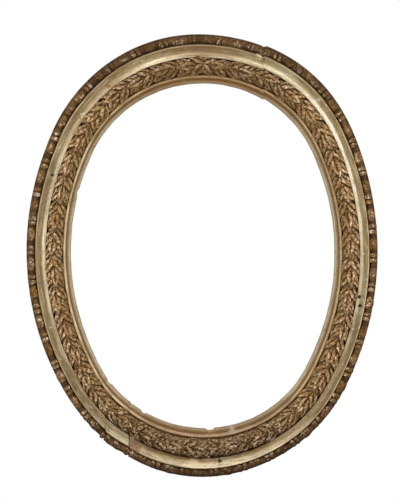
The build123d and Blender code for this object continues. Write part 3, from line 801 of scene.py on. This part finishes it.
class BoardGilding(Finish):
    """Gilding of the plain members, toned by where they lie across the moulding and round the oval."""

    def __init__(self):
        super().__init__("gilded_boards")
        self.uv = self.node("ShaderNodeUVMap", uv_map="moulding")
        self.across = self.part(self.uv, 1)
        self.inside = 1 - self.across.ramp(0.14, 0.15)
        self.on_fillet = self.across.band(0.098, 0.132, 0.006)
        self.in_hollow = self.across.band(0.462, 0.64, 0.012)
        self.on_left = 1 - self.part(self.at, 0).ramp(-180 * MM, -60 * MM)
        self.at_bottom = 1 - self.height.above(-345, -285)
        self.clouds = self.noise(24.0, 5.0, 0.6)
        self.fine = self.noise(210.0, 5.0, 0.65)
        self.specks = self.noise(620.0, 2.0, 0.5)
        self.streaks = self.noise(1.6, 5.0, 0.6, at=self.stretch(self.uv, (1.2, 26.0, 1.0)))

    def members(self):
        """Each member in its own tone, the hollow with painted light: at the sides a painted highlight on
        its inner flank, at the bottom painted shade within and a painted highlight without, as lit from
        above.
        """
        side = self.tones(INNER_TONES + SIDE_HOLLOW + EDGE_TONES, self.across)
        low = self.tones(INNER_TONES + LOW_HOLLOW + EDGE_TONES, self.across)
        return self.blend(self.at_bottom, side, low)

    def regions(self):
        """Layers that change the members' tones round the oval, with painted shade on the lower inner
        flank at the sides and a painted sheen at the upper right.
        """
        upper, lower = self.height.above(200, 290), 1 - self.height.above(-305, -230)
        on_lip = 1 - self.across.ramp(0.06, 0.09)
        silver = self.noise(8.0, 3.0, 0.5).ramp(0.5, 0.64)
        dull = self.noise(13.0, 3.0, 0.5).ramp(0.46, 0.62)
        inner_flank = self.across.band(0.458, 0.52, 0.02)
        hollow_middle = self.across.band(0.52, 0.56, 0.02)
        shaded = (1 - self.height.above(-250, -10)) * (1 - self.at_bottom)
        sheen = self.spot(*SHEEN) * inner_flank
        tarnish = self.spot(*TARNISH) * self.in_hollow
        return [
            (upper * self.inside * 0.4, srgb(124, 84, 42)),
            (lower * self.inside * 0.5, srgb(104, 78, 56)),
            (lower * self.on_fillet * 0.4, srgb(206, 172, 140)),
            ((1 - upper - lower) * on_lip * 0.3, srgb(196, 180, 152)),
            (silver * self.in_hollow * 0.5, SILVERED),
            (dull * self.in_hollow * 0.4, srgb(150, 132, 98)),
            (shaded * inner_flank * 0.7, srgb(152, 122, 80)),
            (self.on_left * hollow_middle * 0.5, srgb(150, 132, 98)),
            # Painted sheen of glare on the hollow's inner flank at the upper right
            (sheen * 0.7, srgb(252, 244, 224)),
            (tarnish * 0.45, srgb(150, 128, 90)),
        ]

    def wear(self):
        """Layers of dirt and rubbed gilding, much of it drawn along the moulding, with painted shade
        between the leaves and a painted highlight on the fillet at the left.
        """
        patches = self.noise(1.0, 5.0, 0.7, at=self.stretch(self.uv, (3.0, 16.0, 1.0)))
        at_top = self.height.above(318, 346)
        tan_top = at_top * self.spot(*TAN_TOP) * self.across.ramp(0.455, 0.5) * self.in_hollow
        between_leaves = self.across.band(0.15, 0.44, 0.01)
        rubbed = self.noise(300.0, 3.0, 0.6).ramp(0.5, 0.6)
        lost = self.noise(60.0, 4.0, 0.6).ramp(0.64, 0.68)
        bole = self.noise(48.0, 4.0, 0.6, 0.4).ramp(0.66, 0.72)
        return [
            (self.clouds.ramp(0.48, 0.7) * 0.4, TAN),
            (self.streaks.ramp(0.52, 0.7) * 0.6, BROWN),
            ((1 - self.streaks.ramp(0.32, 0.44)) * self.in_hollow * 0.4, PALE_GOLD),
            (self.fine.ramp(0.53, 0.7) * 0.5, BROWN),
            (patches.ramp(0.5, 0.66) * (self.inside + self.in_hollow) * 0.5, srgb(112, 84, 48)),
            ((1 - patches.ramp(0.34, 0.48)) * self.in_hollow * 0.4, srgb(244, 230, 198)),
            # Painted highlight on the fillet at the left
            (self.on_left * self.on_fillet * self.clouds.ramp(0.42, 0.58) * 0.6, srgb(240, 216, 170)),
            (tan_top * 0.65, srgb(132, 100, 62)),
            # Painted shade on the core between the leaves, with rubbed flecks over it
            (between_leaves * 0.6, srgb(74, 50, 24)),
            (between_leaves * rubbed * 0.75, srgb(178, 146, 104)),
            (lost * self.in_hollow * 0.6, GESSO),
            (bole * 0.6, BOLE),
        ]

    def finished(self):
        """The whole gilding, with single marks, crazing, flecks, joint lines and holes."""
        broken = self.fine.ramp(0.3, 0.5)
        marks = [(self.spot(place, radius, soft) * broken * 0.85, tone)
                 for place, radius, soft, tone in MARKS]
        cells = {"Vector": self.stretch(self.uv, (6.0, 1.1, 1.0)), "Scale": 1.0}
        cracks = self.node("ShaderNodeTexVoronoi", cells, feature="DISTANCE_TO_EDGE")
        patchy = self.noise(13.0, 2.0).ramp(0.46, 0.58)
        crazed = (1 - cracks.ramp(0.0, 0.02)) * patchy * self.in_hollow
        flecks = self.specks.ramp(0.655, 0.7) * (0.45 + self.at_bottom * 0.5)
        holes = self.joint_lines() * (1 - self.inside * 0.7)
        for centre, radius in HOLES:
            holes = holes + self.spot(centre, radius, 1.6)
        dark = [(crazed * 0.25, UMBER), (flecks, UMBER), (holes.capped() * 0.92, UMBER)]
        colour = self.lay(self.members(), self.regions() + self.wear() + marks + dark)
        rough = 0.36 + self.fine * 0.22 + self.across.ramp(0.65, 0.67) * 0.3
        relief = self.fine * 0.5 + self.specks * 0.2 + self.streaks * 0.3 - crazed * 0.5 - holes * 0.5
        return self.finish(relief, 0.4, 0.0005, Base_Color=colour, Roughness=rough,
                           Metallic=self.in_hollow * 0.18 + 0.06, Specular_IOR_Level=0.2)


def carving_gilding(name, deep, raised, bare_from, rubbed, grime_and_shade):
    """Gilding of the carving: dark in the cuts as painted shade, pale and rubbed where it stands highest,
    which also paints its highlights; more painted shade in the recesses, on the laurel's inner half, at
    the top and bottom and on the beads' outer side.
    """
    finish = Finish(name)
    mark, reach = finish.attribute("relief"), finish.attribute("reach")
    # Ambient occlusion, for painted shade in the carving's recesses
    depth = finish.node("ShaderNodeAmbientOcclusion", {"Distance": 0.005}, "AO", samples=8)
    clouds = finish.noise(30.0, 5.0, 0.6)
    fine = finish.noise(260.0, 4.0, 0.65)
    specks = finish.noise(480.0, 2.0, 0.5)
    along_grain = finish.stretch(finish.attribute("grain", "Vector"), (160.0, 380.0, 7.0))
    drawn = finish.node("ShaderNodeVectorMath", {0: along_grain, 1: finish.place((9.0, 9.0, 9.0))},
                        operation="ADD")
    strokes = finish.noise(1.0, 3.0, 0.6, at=drawn)
    low = 1 - finish.height.above(-330, -250)
    # Masks for painted shade: the carving's top and bottom ends, the laurel's inner half and the beads'
    # outer side
    ends = low + finish.height.above(240, 320)
    inner, outer = 1 - reach.ramp(0.22, 0.36), reach.ramp(0.70, 0.75)
    broken = (strokes - 0.5) * 1.3 + (fine - 0.5) * (1.2 + low * 1.6)
    # Rubbed gilding on the crests, which also paints their highlights
    wear = (mark * 0.7 + clouds * 0.4 + broken - 0.6).ramp(bare_from, bare_from + 0.2)
    blotches = finish.noise(190.0, 4.0, 0.65).ramp(0.46, 0.58)
    bole = (finish.noise(80.0, 3.0) + mark * 0.08).ramp(0.66, 0.74)
    lost = (1 - specks.ramp(0.28, 0.34)) * mark.ramp(0.35, 0.6)
    # Dark joint lines, and painted shade on the outer rim of the beads
    lines = finish.joint_lines() * 0.7 + reach.ramp(0.765, 0.80) * 0.7
    # Dark in the cuts, where the relief is low, as painted shade
    colour = finish.lay(finish.blend((mark + broken).ramp(0.18, 0.5), deep, raised), [
        # Painted shade on the laurel's inner half
        (inner * 0.3, srgb(120, 88, 46)),
        (clouds.ramp(0.46, 0.66) * 0.3, BROWN),
        # Rubbed gilding and painted highlight, kept off the laurel's inner half and the beads' outer side
        (wear * (1 - inner * 0.35) * (1 - outer * 0.8) * rubbed, WORN_PINK_AND_HIGHLIGHT),
        # Painted shade at the top and bottom ends and on the beads' outer side
        (ends * 0.36 + outer * 0.3, UMBER),
        (blotches * grime_and_shade * 0.6, UMBER),
        (bole * 0.45, BOLE),
        # Painted shade in the recesses by ambient occlusion, with the grime's amount
        ((1 - depth.ramp(0.12, 0.7)) * grime_and_shade, UMBER),
        (specks.ramp(0.6, 0.68) * 0.55, UMBER),
        (lost * rubbed * 0.85, GESSO),
        (lines.capped(), UMBER),
    ])
    relief = strokes * 0.5 + fine * 0.5 + specks * 0.3
    return finish.finish(relief, 0.7, 0.0007, Base_Color=colour, Roughness=0.42 + fine * 0.25,
                         Metallic=mark * 0.12 + 0.04, Specular_IOR_Level=0.06)


def bare_wood(name, pale, dark, turn, grain=1.0):
    """Bare aged wood with its grain along X, turned about the view direction."""
    finish = Finish(name)
    rings = finish.noise(1.3 * grain, 5.0, 0.6, 0.6, finish.place((3.0, 60.0, 60.0), turn))
    fibres = finish.noise(1.0, 3.0, 0.6, at=finish.place((14.0, 700.0, 700.0), turn))
    stains = finish.noise(9.0, 4.0, 0.6)
    colour = finish.blend(rings.ramp(0.35, 0.68), pale, dark)
    colour = finish.blend(fibres.ramp(0.5, 0.75) * 0.4, colour, srgb(60, 42, 26))
    colour = finish.blend(stains.ramp(0.5, 0.75) * 0.5, colour, srgb(84, 62, 40))
    relief = rings * 0.5 + fibres * 0.5
    return finish.finish(relief, 0.5, 0.0006, Base_Color=colour, Roughness=0.62 + fibres * 0.25)


def forged_iron():
    finish = Finish("forged_iron")
    scale = finish.noise(160.0, 5.0, 0.6)
    rust = finish.noise(70.0, 4.0, 0.65).ramp(0.5, 0.66)
    colour = finish.blend(scale, srgb(38, 34, 32), srgb(78, 72, 68))
    colour = finish.blend(rust * 0.8, colour, srgb(96, 56, 32))
    return finish.finish(scale, 0.5, 0.0005, Base_Color=colour, Roughness=0.45 + rust * 0.4,
                         Metallic=0.85 - rust * 0.7)


def area_light(name, place, size, power, aim):
    lamp = bpy.data.lights.new(name, "AREA")
    lamp.shape, lamp.size, lamp.size_y, lamp.energy = "RECTANGLE", size[0], size[1], power
    holder = put(name, lamp)
    holder.location = place
    holder.rotation_euler = (aim - place).to_track_quat("-Z", "Y").to_euler()


def white_surroundings():
    """A world that is white where it is seen and lights the object softly."""
    world = bpy.data.worlds.new("white surroundings")
    bpy.context.scene.world = world
    world.use_nodes = True
    tree = world.node_tree
    rays = new_node(tree, "ShaderNodeLightPath").outputs
    seen = rays["Is Camera Ray"]
    for other in ("Is Glossy Ray", "Is Transmission Ray"):
        either = new_node(tree, "ShaderNodeMath", {0: seen, 1: rays[other]}, operation="MAXIMUM")
        seen = either.outputs[0]
    level = new_node(tree, "ShaderNodeMapRange", {"Value": seen, "To Min": AMBIENT, "To Max": 1.0})
    background = tree.nodes["Background"].inputs
    feed(tree, background["Strength"], level.outputs[0])
    feed(tree, background["Color"], (1.0, 1.0, 1.0, 1.0))


def studio():
    """Camera straight in front, soft lamps, white surroundings and a pale floor."""
    scene = bpy.context.scene
    scene.view_settings.view_transform = "Standard"
    camera = bpy.data.cameras.new("camera")
    holder = put("camera", camera)
    middle = Vector(shared_point(0.0, 0.0, PICTURE_PLANE))
    holder.location = shared_point(*PICTURE_CENTRE, PICTURE_PLANE)
    holder.location.y -= CAMERA_DISTANCE
    holder.rotation_euler = (math.pi / 2, 0.0, 0.0)
    camera.sensor_fit = "VERTICAL"
    camera.sensor_height = 36.0
    camera.lens = camera.sensor_height * CAMERA_DISTANCE / (PICTURE[1] * MM_PER_PIXEL * MM)
    scene.camera = holder

    for name, (place, size, power) in LAMPS.items():
        area_light(name, middle + Vector(place), size, power, middle)
    white_surroundings()
    floor = mesh_object("floor", [(x, y, FLOOR_LEVEL) for x, y in FLOOR], [(0, 1, 2, 3)])
    pale = Finish("pale_floor").finish(Base_Color=srgb(236, 234, 230), Roughness=0.8)
    floor.data.materials.append(pale)


def dress_boards():
    """Carved meshes in place of the plain boards, clockwise from the top."""
    gilding = BoardGilding().finished()
    names = ("top_board", "right_board", "bottom_board", "repair_piece", "left_board")
    cuts = [(x, True) for x in TOP_JOINTS] + [(x, False) for x in reversed(BOTTOM_JOINTS)]
    half = JOINT_GAP / 2
    for name, (x0, top0), (x1, top1) in zip(names, cuts, cuts[1:] + cuts[:1]):
        start = (x0 + (half if top0 else -half), top0)
        end = (x1 - (half if top1 else -half), top1)
        piece = carved_board("carved_" + name, start, end)
        piece.data.materials.append(gilding)
        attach(piece, "frame")
        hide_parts("moulding_" + name)


def template_set(name, make, count):
    """A collection of patterns to carve from, each made a little differently."""
    patterns = bpy.data.collections.new(name)
    for number in range(count):
        pattern = make(number)
        bpy.context.scene.collection.objects.unlink(pattern)
        patterns.objects.link(pattern)
    return patterns


def dress_carving():
    """The laurel down both sides and the beads and reels round the edge."""
    tree = carving_tree()
    sprigs = template_set("laurel_sprigs", sprig_template, SPRIG_PATTERNS)
    repeats = template_set("edge_repeats", edge_template, EDGE_PATTERNS)
    once_round = oval_length(LAUREL_MIDDLE)
    first, last = FIRST_SPRIG / once_round, 0.5 + (LAST_TIP - SPRIG_REACH) / once_round
    sides = [carving_path(side, LAUREL_MIDDLE, CORE_CENTRE, first, last) for side in (-1, 1)]
    gilding = carving_gilding("gilded_leaves", deep=srgb(58, 35, 12), raised=srgb(162, 126, 79),
                              bare_from=0.02, rubbed=0.85, grime_and_shade=0.65)
    leaves = carve_along("laurel_leaves", tree, sides, Carvings=sprigs, Count=SPRIGS_PER_SIDE,
                         Size_Spread=0.05, Turn_Spread=0.12, Hand=0.0024, Hand_Scale=150.0,
                         Seed=5, Finish=gilding)
    first, last = EDGE_START / EDGE_REPEATS, (EDGE_START + EDGE_REPEATS - 1) / EDGE_REPEATS
    edge = carving_path(-1, BEAD_MIDDLE, BEAD_CENTRE, first, last)
    gilding = carving_gilding("gilded_beads", deep=srgb(42, 25, 9), raised=srgb(128, 92, 48),
                              bare_from=0.12, rubbed=0.9, grime_and_shade=0.85)
    beads = carve_along("edge_beads", tree, [edge], Carvings=repeats, Count=EDGE_REPEATS,
                        Size_Spread=0.03, Turn_Spread=0.08, Hand=0.0024, Hand_Scale=170.0,
                        Seed=9, Finish=gilding)
    for piece in (leaves, beads):
        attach(piece, "frame")
    for templates in (sprigs, repeats):
        for template in list(templates.objects):
            bpy.data.objects.remove(template)
        bpy.data.collections.remove(templates)


def dress_node(name, material):
    slots = frame["nodes"][name].data.materials
    slots.clear()
    slots.append(material)


def dress_back():
    """Bare wood and iron on the solids of the back."""
    pale, dark = srgb(160, 124, 84), srgb(112, 80, 50)
    for turn, segments in ((0, ("top", "bottom")), (60, ("upper_left", "lower_right")),
                           (120, ("upper_right", "lower_left"))):
        wood = bare_wood(f"back_wood_{turn}", pale, dark, math.radians(turn))
        for name in segments:
            dress_node("back_frame_" + name, wood)
    dress_node("lap_pegs", bare_wood("peg_wood", srgb(128, 94, 58), srgb(84, 58, 34), turn=0.4, grain=3.0))
    button = bare_wood("button_wood", srgb(138, 100, 62), srgb(92, 62, 36), turn=1.0, grain=1.6)
    for name in ("upper_right", "upper_left", "lower_left", "lower_right"):
        dress_node("turn_button_" + name, button)
    iron = forged_iron()
    for name in ("board_nails", "button_screws", "hanger_staple", "hanging_ring"):
        dress_node(name, iron)


studio()
dress_boards()
dress_carving()
dress_back()
